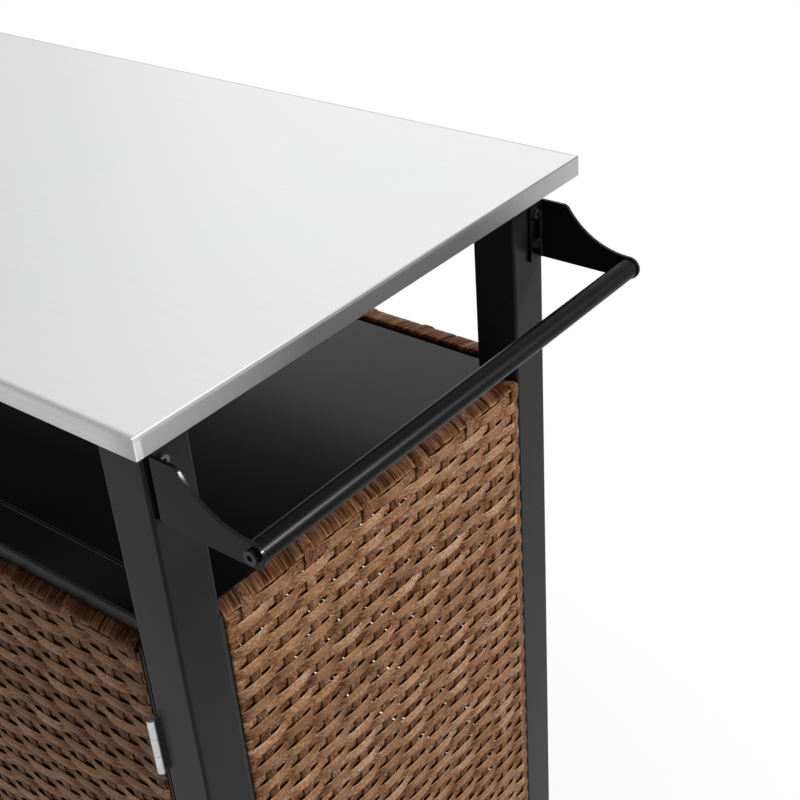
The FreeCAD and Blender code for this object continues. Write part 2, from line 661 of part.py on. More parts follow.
# Doors: hung on butt hinges whose pins stand just in front of the legs.
door_left_x = {
    "left": f"({leg_in_left} + sizes.door_gap)",
    "right": f"({leg_in_right} - sizes.door_gap - {door_width})",
}
hinge_axis_x = {
    "left": f"({leg_in_left} + sizes.door_gap / 2)",
    "right": f"({leg_in_right} - sizes.door_gap / 2)",
}
hinge_axis_y = f"({leg_out_front} - sizes.knuckle_diameter / 2)"
hinge_feet = [f"({door_foot} + sizes.hinge_inset)", f"({door_top} - sizes.hinge_inset - sizes.hinge_height)"]
knob_x = {
    "left": f"({door_left_x['left']} + {door_width} - sizes.knob_inset)",
    "right": f"({door_left_x['right']} + sizes.knob_inset)",
}
knob_z = f"({door_top} - sizes.knob_drop)"
third = "(sizes.hinge_height / 3)"


def door(side):
    x = door_left_x[side]
    skin_at = (x, leg_out_front, door_foot)
    frame_at = (x, f"{leg_out_front} + sizes.weave_thickness", door_frame_foot)
    hole = "sizes.knob_stud_diameter + 2 * sizes.running_clearance"
    knob_height = f"({knob_z} - {door_frame_foot})"
    sides = (door_frame_height, door_width)
    body = frame(f"door_frame_{side}", "Y", sides, frame_at, across_first=knob_height)
    drill(body, "XY_Plane", [(knob_height, f"{knob_x[side]} - {x}")], hole)
    bore = rod(hole, "sizes.weave_thickness", (knob_x[side], leg_out_front, knob_z), "+Y")
    block(f"door_weave_{side}", (door_width, "sizes.weave_thickness", door_height), skin_at, [bore])


def knob(side):
    """A turned knob with a stud through the skin into the frame."""
    body = new_body(f"door_knob_{side}")
    reach, half = "sizes.knob_projection", "sizes.knob_diameter / 2"
    stud = "sizes.knob_stud_diameter / 2"
    end = f"-({panel_depth} - 1)"
    revolve(body, [(0, end), (stud, end), (stud, 0), (f"{half} * 0.7", 0), (f"{half} * 0.7", f"{reach} * 0.15"),
                   (f"{half} * 0.45", f"{reach} * 0.3"), (f"{half} * 0.45", f"{reach} * 0.5"),
                   (half, f"{reach} * 0.68"), (half, f"{reach} * 0.88"), (f"{half} * 0.8", reach), (0, reach)])
    place(body, knob_x[side], leg_out_front, knob_z, POINTING["-Y"])


def hinge_leaf(side, foot, on_door):
    """One leaf: a plate behind the front plane and its share of the three knuckles."""
    x, y = hinge_axis_x[side], hinge_axis_y
    gap, thick = "sizes.door_gap / 2", "sizes.leaf_thickness"
    towards_right = on_door == (side == "left")
    plate = doc.addObject("Part::Box", "plate")
    for name, formula in (("Length", thick), ("Height", "sizes.hinge_height"),
                          ("Width", "sizes.leaf_width + sizes.knuckle_diameter / 2")):
        plate.setExpression(name, formula)
    place(plate, f"{x} + {gap} - {thick}" if towards_right else f"{x} - {gap}", y, foot)
    play = "sizes.hinge_play"
    mine = [1] if on_door else [0, 2]
    knuckles = [rod("sizes.knuckle_diameter", f"{third} - {play}",
                    (x, y, f"{foot} + {i} * {third} + {play} / 2")) for i in mine]
    room = [rod(f"sizes.knuckle_diameter + 2 * {play}", f"{third} + {play}",
                (x, y, f"{foot} + {i} * {third} - {play} / 2")) for i in range(3) if i not in mine]
    bore = rod("sizes.pin_diameter + 2 * sizes.running_clearance", "sizes.hinge_height", (x, y, foot))
    return cut(fuse([cut(plate, room), *knuckles]), [bore])


def hinges(side):
    group(f"hinge_leg_leaves_{side}", [hinge_leaf(side, foot, False) for foot in hinge_feet])
    group(f"hinge_door_leaves_{side}", [hinge_leaf(side, foot, True) for foot in hinge_feet])
    group(f"hinge_pins_{side}", [rod("sizes.pin_diameter", "sizes.hinge_height",
                                     (hinge_axis_x[side], hinge_axis_y, foot)) for foot in hinge_feet])


def catch_and_strikes():
    strike_back = f"({door_back} + sizes.strike_thickness)"
    block("door_catch", ("sizes.catch_length", "sizes.catch_depth", "sizes.catch_height"),
          (f"{middle} - sizes.catch_length / 2", f"{strike_back} + sizes.catch_gap",
           f"{deck_top} - sizes.front_rail_height - sizes.catch_height"))
    strike_z = f"{door_top} - sizes.wrap_thickness - (sizes.frame_bar + sizes.strike_height) / 2"
    size = ("sizes.strike_length", "sizes.strike_thickness", "sizes.strike_height")
    margin = "(sizes.frame_bar - sizes.strike_height) / 2"
    left_x = f"{door_left_x['left']} + {door_width} - {margin} - sizes.strike_length"
    block("door_strike_left", size, (left_x, door_back, strike_z))
    block("door_strike_right", size, (f"{door_left_x['right']} + {margin}", door_back, strike_z))


# Handle: a round bar between two bent brackets on the right legs.
arm_face = {
    "front": f"({leg_out_front} + sizes.bracket_inset)",
    "back": f"({leg_out_back} - sizes.bracket_inset)",
}


def bracket(end):
    """An L of sheet. Its own Y runs inwards from the arm's outer face, so the back one is the mirror."""
    body = new_body(f"handle_bracket_{end}")
    inwards = 1 if end == "front" else -1
    reach, round_end = "sizes.bar_reach", "sizes.bracket_end_radius"
    hollow, high, skin = "sizes.bracket_hollow_radius", "sizes.bracket_height", "sizes.bracket_sheet"
    rise = f"({high} - 2 * {round_end})"
    hollow_start = f"({reach} - sqrt({hollow}^2 - ({hollow} - {rise})^2))"
    arm = sketch_on(body, "XZ_Plane")
    outline(arm, [(0, 0), (reach, 0), (reach, f"2 * {round_end}"), (hollow_start, high), (0, high)],
            {1: ("X", reach, 1), 2: ("X", reach, -1)})
    pad(body, arm, skin, flip=inwards > 0)
    corner = (number(hollow_start), number(high))
    round_edges(body, "sizes.bracket_corner_radius",
                lambda box: same(box.XMin, corner[0]) and same(box.ZMin, corner[1]) and same(box.XLength, 0))
    flange = sketch_on(body, "YZ_Plane")
    rectangle(flange, 0, 0, f"{inwards} * sizes.bracket_flange", high)
    pad(body, flange, skin)
    thick = number(skin)
    round_edges(body, "sizes.bracket_bend_radius",
                lambda box: same(box.XMin, thick) and same(box.XLength, 0)
                and same(abs(box.YMin), thick) and same(box.YLength, 0))
    round_edges(body, f"sizes.bracket_bend_radius + {skin}",
                lambda box: same(box.XMin, 0) and same(box.XLength, 0)
                and same(box.YMin, 0) and same(box.YLength, 0))
    spots = [(f"{inwards} * sizes.bracket_screw_offset", f"{z} - {bracket_foot}") for z in bracket_screw_heights]
    drill(body, "YZ_Plane", spots, "sizes.bracket_screw_diameter + 2 * sizes.running_clearance")
    drill(body, "XZ_Plane", [(reach, round_end)], "sizes.bar_screw_diameter + 2 * sizes.running_clearance")
    place(body, leg_out_right, arm_face[end], bracket_foot)


def handle():
    x, z = f"{leg_out_right} + sizes.bar_reach", "sizes.top_height - sizes.bar_drop"
    front = f"({arm_face['front']} + sizes.bracket_sheet)"
    back = f"({arm_face['back']} - sizes.bracket_sheet)"
    clear = "2 * sizes.running_clearance"
    bore = "(sizes.bar_diameter - 2 * sizes.bar_wall)"
    outside = rod("sizes.bar_diameter", f"{back} - {front}", (x, front, z), "+Y")
    node(cut(outside, [rod(bore, f"{back} - {front}", (x, front, z), "+Y")]), "handle_bar")
    thread = f"sizes.bar_screw_diameter + {clear}"
    inserts = []
    for y in (front, f"({back} - sizes.insert_length)"):
        plug = rod(f"{bore} - {clear}", "sizes.insert_length", (x, y, z), "+Y")
        inserts.append(cut(plug, [rod(thread, "sizes.insert_length", (x, y, z), "+Y")]))
    group("handle_bar_inserts", inserts)
    reach = "sizes.bracket_sheet + sizes.insert_length * 0.8"
    group("handle_bar_screws", [screw("sizes.bar_screw_diameter", reach, (x, arm_face["front"], z), "-Y"),
                                screw("sizes.bar_screw_diameter", reach, (x, arm_face["back"], z), "+Y")])
    reach = "sizes.bracket_sheet + sizes.leg_wall + sizes.screw_bite"
    seat = f"{leg_out_right} + sizes.bracket_sheet"
    rows = (f"{arm_face['front']} + sizes.bracket_screw_offset", f"{arm_face['back']} - sizes.bracket_screw_offset")
    group("bracket_screws", [screw("sizes.bracket_screw_diameter", reach, (seat, y, height), "+X")
                             for y in rows for height in bracket_screw_heights])


# Casters: a stem screwed into the leg's foot, a fork that swivels under it, a wheel on an axle.
fork_inside = "(sizes.wheel_width + 2 * sizes.hub_side_gap)"
fork_outside = f"({fork_inside} + 2 * sizes.fork_sheet)"
brake_pivot = ("(sizes.caster_trail - sizes.brake_pivot_back)", "(sizes.wheel_diameter + sizes.brake_pivot_rise)")
CASTERS = {
    "front_left": (leg_out_left, leg_out_front),
    "front_right": (leg_in_right, leg_out_front),
    "back_left": (leg_out_left, leg_in_back),
    "back_right": (leg_in_right, leg_in_back),
}
BRAKED = ("front_right", "back_right")


def caster_axis(name):
    x, y = CASTERS[name]
    return f"({x} + sizes.leg_width / 2)", f"({y} + sizes.leg_width / 2)"


def caster_stems():
    """The stem, its collar and race, the kingpin and its head are one turned piece."""
    pin = "sizes.stem_diameter / 2"
    head_top = f"({plate_under} - sizes.swivel_play)"
    head_foot = f"({head_top} - sizes.kingpin_head_height)"
    race_top = f"({race_under} + sizes.race_height)"
    stem_top = f"({leg_foot} + sizes.stem_length)"
    head, race = "sizes.kingpin_head_diameter / 2", "sizes.race_diameter / 2"
    collar = "sizes.stem_collar_diameter / 2"
    profile = [(0, head_foot), (head, head_foot), (head, head_top), (pin, head_top), (pin, race_under),
               (race, race_under), (race, race_top), (collar, race_top), (collar, leg_foot),
               (pin, leg_foot), (pin, stem_top), (0, stem_top)]
    pieces = []
    for name in CASTERS:
        body = doc.addObject("PartDesign::Body", f"stem_{name}")
        revolve(body, profile)
        pieces.append(place(body, *caster_axis(name), 0))
    group("caster_stems", pieces)


def caster_fork(name):
    body = new_body(f"caster_fork_{name}")
    trail, end = "sizes.caster_trail", "sizes.fork_end_radius"
    cheek_top = f"{plate_top} - sizes.fork_cheek_depth"
    side = sketch_on(body, "XZ_Plane")
    outline(side, [("-sizes.fork_nose", plate_top), ("-sizes.fork_nose", cheek_top),
                   (f"{trail} - {end}", axle_height), (f"{trail} + {end}", axle_height),
                   ("sizes.fork_tail", plate_top)], {2: ("Y", axle_height, 1)})
    pad(body, side, fork_outside, both_ways=True)
    room = sketch_on(body, "YZ_Plane")
    rectangle(room, f"-{fork_inside} / 2", 0, f"{fork_inside} / 2", plate_under)
    pocket(body, room)
    clear = "2 * sizes.running_clearance"
    drill(body, "XY_Plane", [(0, 0)], f"sizes.stem_diameter + {clear}")
    holes = [(trail, axle_height)]
    drill(body, "XZ_Plane", holes, f"sizes.axle_diameter + {clear}")
    if name in BRAKED:
        drill(body, "XZ_Plane", [brake_pivot], f"sizes.brake_pin_diameter + {clear}")
    place(body, *caster_axis(name), 0)


def caster_wheel(name):
    """Hub, web and rim turned about the axle."""
    body = new_body(f"caster_wheel_{name}")
    bore = "sizes.axle_diameter / 2 + sizes.running_clearance"
    hub, rim = "sizes.hub_diameter / 2", "(sizes.wheel_diameter / 2 - sizes.wheel_rim)"
    tread, half = "sizes.wheel_diameter / 2", "sizes.wheel_width / 2"
    web, soft = "sizes.wheel_web / 2", "sizes.wheel_width / 8"
    hub_half = f"({half} + sizes.hub_side_gap * 0.7)"
    upper = [(bore, hub_half), (hub, hub_half), (hub, web), (rim, web), (rim, half),
             (f"{tread} - {soft}", half), (tread, f"{half} - {soft}")]
    lower = [(r, f"-({h})") for r, h in reversed(upper)]
    revolve(body, list(reversed(upper + lower)))
    x, y = caster_axis(name)
    place(body, f"{x} + sizes.caster_trail", y, axle_height, POINTING["-Y"])


def caster_axle(name):
    body = new_body(f"caster_axle_{name}")
    pin, head = "sizes.axle_diameter / 2", "sizes.axle_head_diameter / 2"
    seat = f"{fork_outside} / 2"
    end = f"({seat} + sizes.axle_head_height)"
    revolve(body, [(0, f"-{end}"), (head, f"-{end}"), (head, f"-({seat})"), (pin, f"-({seat})"),
                   (pin, seat), (head, seat), (head, end), (0, end)])
    x, y = caster_axis(name)
    place(body, f"{x} + sizes.caster_trail", y, axle_height, POINTING["-Y"])


def caster_brake(name):
    """A pedal over the wheel with a shoe under it; its pivot pin turns in the fork's cheeks."""
    body = new_body(f"caster_brake_{name}")
    px, pz = brake_pivot
    tip = "sizes.brake_length"
    side = sketch_on(body, "XZ_Plane")
    # From the pivot: the eye and the shoe below, the plate that rises to the tip, and back along its top.
    shoe = [("-4", "-2.5"), ("4", "-2.5"), ("12", "-1.5"), ("16", "1.2")]
    plate = [(tip, "6.2"), (tip, "10.2"), ("14", "5.4"), ("6", "3.8"), ("-4", "2.5")]
    outline(side, [(f"{px} + ({x})", f"{pz} + ({z})") for x, z in shoe + plate])
    pad(body, side, "sizes.brake_width", both_ways=True)
    pin = sketch_on(body, "XZ_Plane")
    circle(pin, px, pz, "sizes.brake_pin_diameter")
    pad(body, pin, fork_outside, both_ways=True)
    place(body, *caster_axis(name), 0)


worktop()
upper_rails()
worktop_nuts()
for at_back in (False, True):
    for at_right in (False, True):
        leg(at_back, at_right)
for name, label, top in (("deck", "deck", deck_top), ("base", "bottom_shelf", base_top)):
    tray_rails(name, top)
    tray(label, top)
tray_screws()
end_panels()
back_panel()
panel_screws()
for side in ("left", "right"):
    door(side)
    knob(side)
    hinges(side)
catch_and_strikes()
for end in ("front", "back"):
    bracket(end)
handle()
caster_stems()
for name in CASTERS:
    caster_fork(name)
    caster_wheel(name)
    caster_axle(name)
for name in BRAKED:
    caster_brake(name)

doc.recompute()
for piece in doc.Objects:
    if "Invalid" in piece.State or "Error" in piece.State:
        raise RuntimeError(f"{piece.Label}: {piece.State}")
for piece in nodes:
    if piece.Shape.isNull() or not piece.Shape.isValid() or not piece.Shape.Solids:
        raise RuntimeError(f"{piece.Label}: its shape isn't whole")

os.makedirs("parts", exist_ok=True)
for piece in nodes:
    piece.Shape.exportStep(f"parts/{piece.Label}.step")
print(len(nodes), "nodes written")
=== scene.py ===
import bpy
import numpy as np
from mathutils import Matrix, Vector


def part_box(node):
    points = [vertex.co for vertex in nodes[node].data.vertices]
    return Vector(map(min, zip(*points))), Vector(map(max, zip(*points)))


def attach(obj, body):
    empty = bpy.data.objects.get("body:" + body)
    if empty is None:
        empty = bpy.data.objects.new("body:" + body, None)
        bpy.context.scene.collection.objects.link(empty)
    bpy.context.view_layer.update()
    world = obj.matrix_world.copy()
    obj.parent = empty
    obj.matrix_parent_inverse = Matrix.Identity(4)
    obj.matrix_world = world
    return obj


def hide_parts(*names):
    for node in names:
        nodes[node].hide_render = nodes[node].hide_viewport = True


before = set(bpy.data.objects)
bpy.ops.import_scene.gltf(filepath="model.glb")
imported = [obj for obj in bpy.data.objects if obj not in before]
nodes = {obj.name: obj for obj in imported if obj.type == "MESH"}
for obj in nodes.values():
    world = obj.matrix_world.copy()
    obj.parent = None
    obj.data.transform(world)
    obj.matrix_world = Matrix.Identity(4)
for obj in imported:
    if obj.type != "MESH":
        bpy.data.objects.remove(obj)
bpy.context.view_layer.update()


# Studio: a white sweep of floor under an even white sky. A broad lamp beyond the handle end lights the
# cart, a small one lights only the handle, and a wide weak one stands behind. The camera is where the
# photograph was taken from, tilted as it was.
class Wire:
    """A socket of a node tree. Arithmetic on it adds Math nodes, and node() adds any other node."""

    def __init__(self, tree, socket=None):
        self.tree = tree
        self.socket = socket

    def node(self, kind, settings=None, inputs=None, output=0):
        """Add a node: its settings first, then the values or wires of its inputs, by name or number."""
        made = self.tree.nodes.new("ShaderNode" + kind)
        for name, value in (settings or {}).items():
            if name == "stops":
                ramp = made.color_ramp.elements
                while len(ramp) < len(value):
                    ramp.new(1.0)
                for element, (place, colour) in zip(ramp, value):
                    element.position = place
                    element.color = colour
            else:
                setattr(made, name, value)
        for name, value in (inputs or {}).items():
            if isinstance(value, Wire):
                self.tree.links.new(value.socket, made.inputs[name])
            else:
                made.inputs[name].default_value = value
        return Wire(self.tree, made.outputs[output])

    def maths(self, operation, first, second=0.0):
        return self.node("Math", {"operation": operation}, {0: first, 1: second})

    def __add__(self, other):
        return self.maths("ADD", self, other)

    def __radd__(self, other):
        return self.maths("ADD", other, self)

    def __sub__(self, other):
        return self.maths("SUBTRACT", self, other)

    def __rsub__(self, other):
        return self.maths("SUBTRACT", other, self)

    def __mul__(self, other):
        return self.maths("MULTIPLY", self, other)

    def __rmul__(self, other):
        return self.maths("MULTIPLY", other, self)

    def __abs__(self):
        return self.maths("ABSOLUTE", self)

    def between(self, low, high):
        """0 below low, 1 above high and a smooth step between them."""
        return self.node("MapRange", {"interpolation_type": "SMOOTHSTEP"},
                         {"Value": self, "From Min": low, "From Max": high})

    def mixed(self, first, second):
        """The first colour where this is 0 and the second where it is 1."""
        return self.node("Mix", {"data_type": "RGBA"}, {0: self, 6: first, 7: second}, 2)

    def shades(self, dark, light, low=0.3, high=0.7):
        """A colour from dark, where this is low or less, to light, where it is high or more."""
        return self.node("ValToRGB", {"stops": [(low, dark), (high, light)]}, {"Fac": self})

    def here(self):
        """Where a point of the cart is, in metres."""
        return self.node("TexCoord", output="Object")

    def part(self, vector, axis):
        """One part of a vector, by the letter of its axis."""
        return self.node("SeparateXYZ", inputs={0: vector}, output=axis)

    def noise(self, vector, scale, detail=2.0):
        return self.node("TexNoise", inputs={"Vector": vector, "Scale": scale, "Detail": detail})

    def stretched(self, vector, factors):
        """A position or a colour with each of its parts multiplied."""
        return self.node("VectorMath", {"operation": "MULTIPLY"}, {0: vector, 1: factors})

    def distance(self, vector):
        """The length of a vector."""
        return self.node("VectorMath", {"operation": "LENGTH"}, {0: vector}, "Value")

    def bump(self, height, distance, strength=1.0, **normal):
        """The normal of a surface with this height on it; Normal may name the one under it."""
        inputs = {"Height": height, "Distance": distance, "Strength": strength}
        return self.node("Bump", inputs={**inputs, **normal})


def new_tree(name):
    """A new material and an empty wire in its cleared node tree."""
    material = bpy.data.materials.new(name)
    material.use_nodes = True
    material.node_tree.nodes.clear()
    return material, Wire(material.node_tree)


def show(shader):
    """Make a shader the surface of its material."""
    out = shader.tree.nodes.new("ShaderNodeOutputMaterial")
    shader.tree.links.new(shader.socket, out.inputs["Surface"])


def rgb(red, green, blue):
    return red, green, blue, 1.0


def grey(level):
    return rgb(level, level, level)


def seen_directly(start):
    """1 for rays that come from the camera, a mirror-like surface or glass, else 0."""
    camera_ray, glossy_ray, clear_ray = (start.node("LightPath", output=name) for name in
                                         ("Is Camera Ray", "Is Glossy Ray", "Is Transmission Ray"))
    return start.maths("MAXIMUM", camera_ray, start.maths("MAXIMUM", glossy_ray, clear_ray))


camera_at = (1.02390, -0.62863, 1.29247)
camera_right = (0.78593, 0.61468, -0.06703)
camera_up = (-0.28093, 0.45156, 0.84686)
camera_back = (0.55081, -0.64674, 0.52757)
camera = bpy.data.objects.new("camera", bpy.data.cameras.new("camera"))
camera.data.lens = 61.85
camera.data.sensor_width = 36.0
camera.matrix_world = Matrix.Translation(camera_at) @ Matrix(
    (camera_right, camera_up, camera_back)).transposed().to_4x4()
bpy.context.collection.objects.link(camera)
bpy.context.scene.camera = camera
bpy.context.scene.view_settings.view_transform = "Standard"

sky_light = 0.48
sky = bpy.data.worlds.new("sky")
sky.use_nodes = True
sky_level = sky_light + (1.0 - sky_light) * seen_directly(Wire(sky.node_tree))
sky.node_tree.links.new(sky_level.socket, sky.node_tree.nodes["Background"].inputs["Strength"])
sky.node_tree.nodes["Background"].inputs["Color"].default_value = grey(1.0)
bpy.context.scene.world = sky


def lamp(name, at, towards, size, power):
    """A soft box, so wide and so high, that faces a point."""
    light = bpy.data.objects.new(name, bpy.data.lights.new(name, "AREA"))
    light.data.shape = "RECTANGLE"
    light.data.size, light.data.size_y = size
    light.data.energy = power
    light.location = at
    light.rotation_euler = (Vector(towards) - Vector(at)).to_track_quat("-Z", "Y").to_euler()
    bpy.context.collection.objects.link(light)
    return light


end_soft_box = lamp("end_soft_box", at=(2.3, 1.5, 2.3), towards=(0.3, 0.0, 0.5), size=(0.9, 0.8),
                    power=90.0)
end_soft_box.visible_glossy = False
handle_lamp = lamp("handle_lamp", at=(2.56, 1.02, 1.93), towards=(0.55, 0.0, 0.8), size=(0.35, 0.35),
                   power=150.0)
handle_lamp.light_linking.receiver_collection = bpy.data.collections.new("lit_handle")
lamp("back_soft_box", at=(-0.9, 3.4, 2.6), towards=(0.0, 0.0, 0.6), size=(5.0, 2.6), power=17.0)


def put_in_mesh(name, points, faces):
    """A smooth object at the origin with these points and four-cornered faces."""
    mesh = bpy.data.meshes.new(name)
    mesh.vertices.add(len(points))
    mesh.vertices.foreach_set("co", np.asarray(points, np.float32).ravel())
    mesh.loops.add(faces.size)
    mesh.loops.foreach_set("vertex_index", faces.astype(np.int32).ravel())
    mesh.polygons.add(len(faces))
    mesh.polygons.foreach_set("loop_start", np.arange(0, faces.size, 4, dtype=np.int32))
    mesh.polygons.foreach_set("loop_total", np.full(len(faces), 4, np.int32))
    mesh.polygons.foreach_set("use_smooth", np.full(len(faces), True))
    mesh.update()
    mesh.validate()
    piece = bpy.data.objects.new(name, mesh)
    bpy.context.collection.objects.link(piece)
    return piece


# The floor glows white, and is plainer in an oval under the cart, where it keeps the cart's shadow.
floor_half = 20.0
shadow_near, shadow_far = 0.35, 0.75
glow_under_cart = 0.72
corners = np.array([(-1, -1, 0), (1, -1, 0), (1, 1, 0), (-1, 1, 0)]) * floor_half
floor = put_in_mesh("floor", corners, np.array([[0, 1, 2, 3]]))
floor_paint, floor_start = new_tree("floor_paint")
away = floor_start.distance(floor_start.stretched(floor_start.here(), (0.5, 1.0, 1.0)))
glow = glow_under_cart + (1.0 - glow_under_cart) * away.between(shadow_near, shadow_far)
plain = floor_start.node("BsdfDiffuse", inputs={"Color": grey(0.80)})
white = floor_start.node("Emission", inputs={"Color": grey(1.0), "Strength": 1.0})
show(floor_start.node("MixShader", inputs={0: seen_directly(floor_start) * glow, 1: plain, 2: white}))
floor.data.materials.append(floor_paint)


# Carcass: square steel legs with flat rails welded between them, and the folded trays of the deck and the
# bottom shelf screwed to the rails. All have a satin black powder coat with a faint pebbled skin; the
# rails and trays have darker copies of it as painted shade, darkest on the trays.
def finish(name, inputs_of, **amounts):
    """A material of one Principled shader, whose inputs come from a recipe and the amounts in it."""
    material, start = new_tree(name)
    show(start.node("BsdfPrincipled", inputs=inputs_of(start, **amounts)))
    return material


def dress(material, *names):
    """Give CAD nodes their finish."""
    for name in names:
        mesh = nodes[name].data
        mesh.materials.clear()
        mesh.materials.append(material)


def powder_coat(start, level, roughness, specular, edge, pebbled=0.5):
    """Black paint so pale, rough, shiny and pebbled, that rounds the edges under it by so much."""
    cloud = start.noise(start.here(), 9.0, 3.0)
    pebble = start.noise(start.here(), 1400.0, 1.0)
    soft_edges = start.node("Bevel", {"samples": 6}, {"Radius": edge})
    return {"Base Color": cloud.shades(grey(0.8 * level), grey(1.2 * level)),
            "Roughness": roughness + 0.06 * cloud, "Specular IOR Level": specular,
            "Normal": start.bump(pebble, 0.00005, pebbled, Normal=soft_edges)}


corner_names = ("front_left", "front_right", "back_left", "back_right")
dress(finish("black_paint", powder_coat, level=0.011, roughness=0.24, specular=0.09, edge=0.0007),
      *(f"leg_{corner}" for corner in corner_names),
      "upper_rail_front", "upper_rail_back", "upper_rail_left", "upper_rail_right")
# Darker copies of the legs' coat on the rails and trays: painted shade.
dress(finish("shaded_rail_paint", powder_coat, level=0.008, roughness=0.24, specular=0.07, edge=0.0003),
      "deck_rail_front", "deck_rail_back", "base_rail_front", "base_rail_back")
dress(finish("shaded_tray_paint", powder_coat, level=0.002, roughness=0.27, specular=0.16, edge=0.0),
      "deck", "bottom_shelf")


# Worktop: one sheet of stainless steel, folded down at its edges and ground at the corners, with a
# fine grain brushed along its length. Light and shade are painted into its colour, and its underside is
# painted near-black as painted shade.
def brushed(start, tone_of):
    """A brushed steel: fine streaks one way, over soft clouds, in the tones that tone_of gives them."""
    grain = start.noise(start.stretched(start.here(), (14.0, 900.0, 900.0)), 1.0, 3.0)
    cloud = start.noise(start.here(), 5.0, 2.0)
    return {"Base Color": tone_of(0.7 * grain + 0.3 * cloud), "Metallic": 1.0,
            "Roughness": 0.36 + 0.06 * grain + 0.05 * cloud, "Normal": start.bump(grain, 0.00001, 0.5)}


def steel_tone(streaks):
    return streaks.shades(rgb(0.645, 0.648, 0.65), grey(0.68), 0.35, 0.65)


worktop_low, worktop_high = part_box("worktop")
half_depth = worktop_high[1]
ground_highlight_width = 0.0066
fold_shade_width = 0.0045
darker_near_ends = 0.030
end_fold = 0.0036
hem = 0.0012
ground_highlight_grey, fold_shade_grey, end_fold_highlight_grey, hem_highlight_grey = grey(0.84), grey(0.39), grey(0.66), grey(0.62)
crease_shade_grey, crease_highlight_grey = grey(0.24), grey(1.0)
underside_shade_grey = grey(0.012)


def worktop_steel(start):
    """Painted shade by face: the top is the palest, the skirts darker, and the folded ends, on which the
    grain stands upright, darker still, most of all halfway. The front corners are ground and carry a
    painted highlight, a painted grey line of shade follows the long folds, and the folds of the ends and
    the hem under them carry painted highlights, the folds' brightest at the front with painted shade
    behind.
    """
    facing = start.node("NewGeometry", output="Normal")
    up = start.part(facing, "Z")
    endwise = abs(start.part(facing, "X"))
    on_end = endwise.between(0.5, 0.8)
    on_corner = endwise.between(0.1, 0.3)
    on_top = up.between(0.2, 0.9)
    under = (0.0 - up).between(0.3, 0.6)
    place = start.here()
    along, across, height = (start.part(place, axis) for axis in "XYZ")
    from_side = half_depth - abs(across)
    from_end = start.maths("MINIMUM", along - worktop_low[0], worktop_high[0] - along)
    from_front = half_depth + across
    below = worktop_high[2] - height
    fore = 1.0 - across.between(-0.8 * half_depth, 0.8 * half_depth)

    upright = start.noise(start.stretched(place, (900.0, 900.0, 14.0)), 1.0, 3.0)
    sideways = abs(across) * (1.0 / half_depth)
    # Painted shade on the folded ends: darkest halfway along them, paler towards the corners.
    end_painted_shade = sideways.node("ValToRGB", {"stops": [
        (0.36, grey(0.175)), (0.70, grey(0.36)), (0.96, grey(0.48))]}, {"Fac": sideways})
    end_painted_shade = start.stretched(end_painted_shade, 0.93 + 0.14 * upright)

    def tone_of(streaks):
        # Painted shade on the front and back skirts: darker than the top, and darker still towards their
        # ends.
        side_painted_shade = streaks.shades(grey(0.48), grey(0.55), 0.35, 0.65)
        side_painted_shade = start.stretched(side_painted_shade, 0.68 + 0.32 * from_end.between(0.0, darker_near_ends))
        return on_top.mixed(on_end.mixed(side_painted_shade, end_painted_shade), steel_tone(streaks))

    made = brushed(start, tone_of)
    # Painted highlight over the ground front corners, on the folded ends.
    ground = (1.0 - from_front.between(0.7 * ground_highlight_width, ground_highlight_width)) * on_end
    colour = ground.mixed(made["Base Color"], ground_highlight_grey)
    # Painted shade: a grey line along the long folds, on the top and on the skirts.
    folded = (1.0 - from_side.between(0.0, fold_shade_width)) * (1.0 - below.between(0.0, fold_shade_width))
    colour = (folded * (1.0 - on_corner)).mixed(colour, fold_shade_grey)
    # Painted highlight along the top of each folded end, brightest at the front.
    end_fold_highlight = (1.0 - below.between(0.8 * end_fold, end_fold)) * on_end * (0.65 * fore)
    colour = end_fold_highlight.mixed(colour, end_fold_highlight_grey)
    # Painted light on the folds of the ends: a painted highlight at the front, painted shade at the back.
    crease = up.between(0.25, 0.4) * (1.0 - up.between(0.85, 0.95)) * on_corner
    colour = crease.mixed(colour, fore.mixed(crease_shade_grey, crease_highlight_grey))
    # Painted highlight along the hem at the foot of each folded end.
    hem_highlight = (1.0 - (height - worktop_low[2]).between(0.0, hem)) * on_end
    colour = hem_highlight.mixed(colour, hem_highlight_grey)
    # Painted shade: the underside is near-black, rougher and not metallic.
    made["Base Color"] = under.mixed(colour, underside_shade_grey)
    made["Metallic"] = 1.0 - under
    made["Roughness"] = made["Roughness"] + 0.45 * under
    return made


dress(finish("worktop_steel", worktop_steel), "worktop")


# Handle: a round steel tube across the right-hand end between two bent sheet brackets, in a smoother black
# coat than the carcass. A dark socket screw goes through each bracket into the bar, and two blackened
# screws hold each bracket on its leg. A lamp of the handle's own draws the streak along the bar.
dress(finish("bracket_paint", powder_coat, level=0.003, roughness=0.18, specular=0.09, edge=0.0005,
             pebbled=0.12), "handle_bracket_front", "handle_bracket_back")
dress(finish("bar_paint", powder_coat, level=0.0010, roughness=0.30, specular=0.06, edge=0.0,
             pebbled=0.4), "handle_bar")
for name in ("handle_bar", "handle_bracket_front", "handle_bracket_back"):
    handle_lamp.light_linking.receiver_collection.objects.link(nodes[name])


def black_oxide(start, level, metallic, specular):
    """Blackened steel so pale, so metallic and so shiny, a little cloudy."""
    cloud = start.noise(start.here(), 400.0, 2.0)
    return {"Base Color": cloud.shades(grey(0.6 * level), grey(1.4 * level)), "Metallic": metallic,
            "Roughness": 0.22 + 0.12 * cloud, "Specular IOR Level": specular}


blackened_screw = finish("blackened_screw", black_oxide, level=0.10, metallic=0.8, specular=0.5)
dress(finish("black_screw", black_oxide, level=0.010, metallic=0.0, specular=0.22), "handle_bar_screws")
dress(blackened_screw, "bracket_screws")


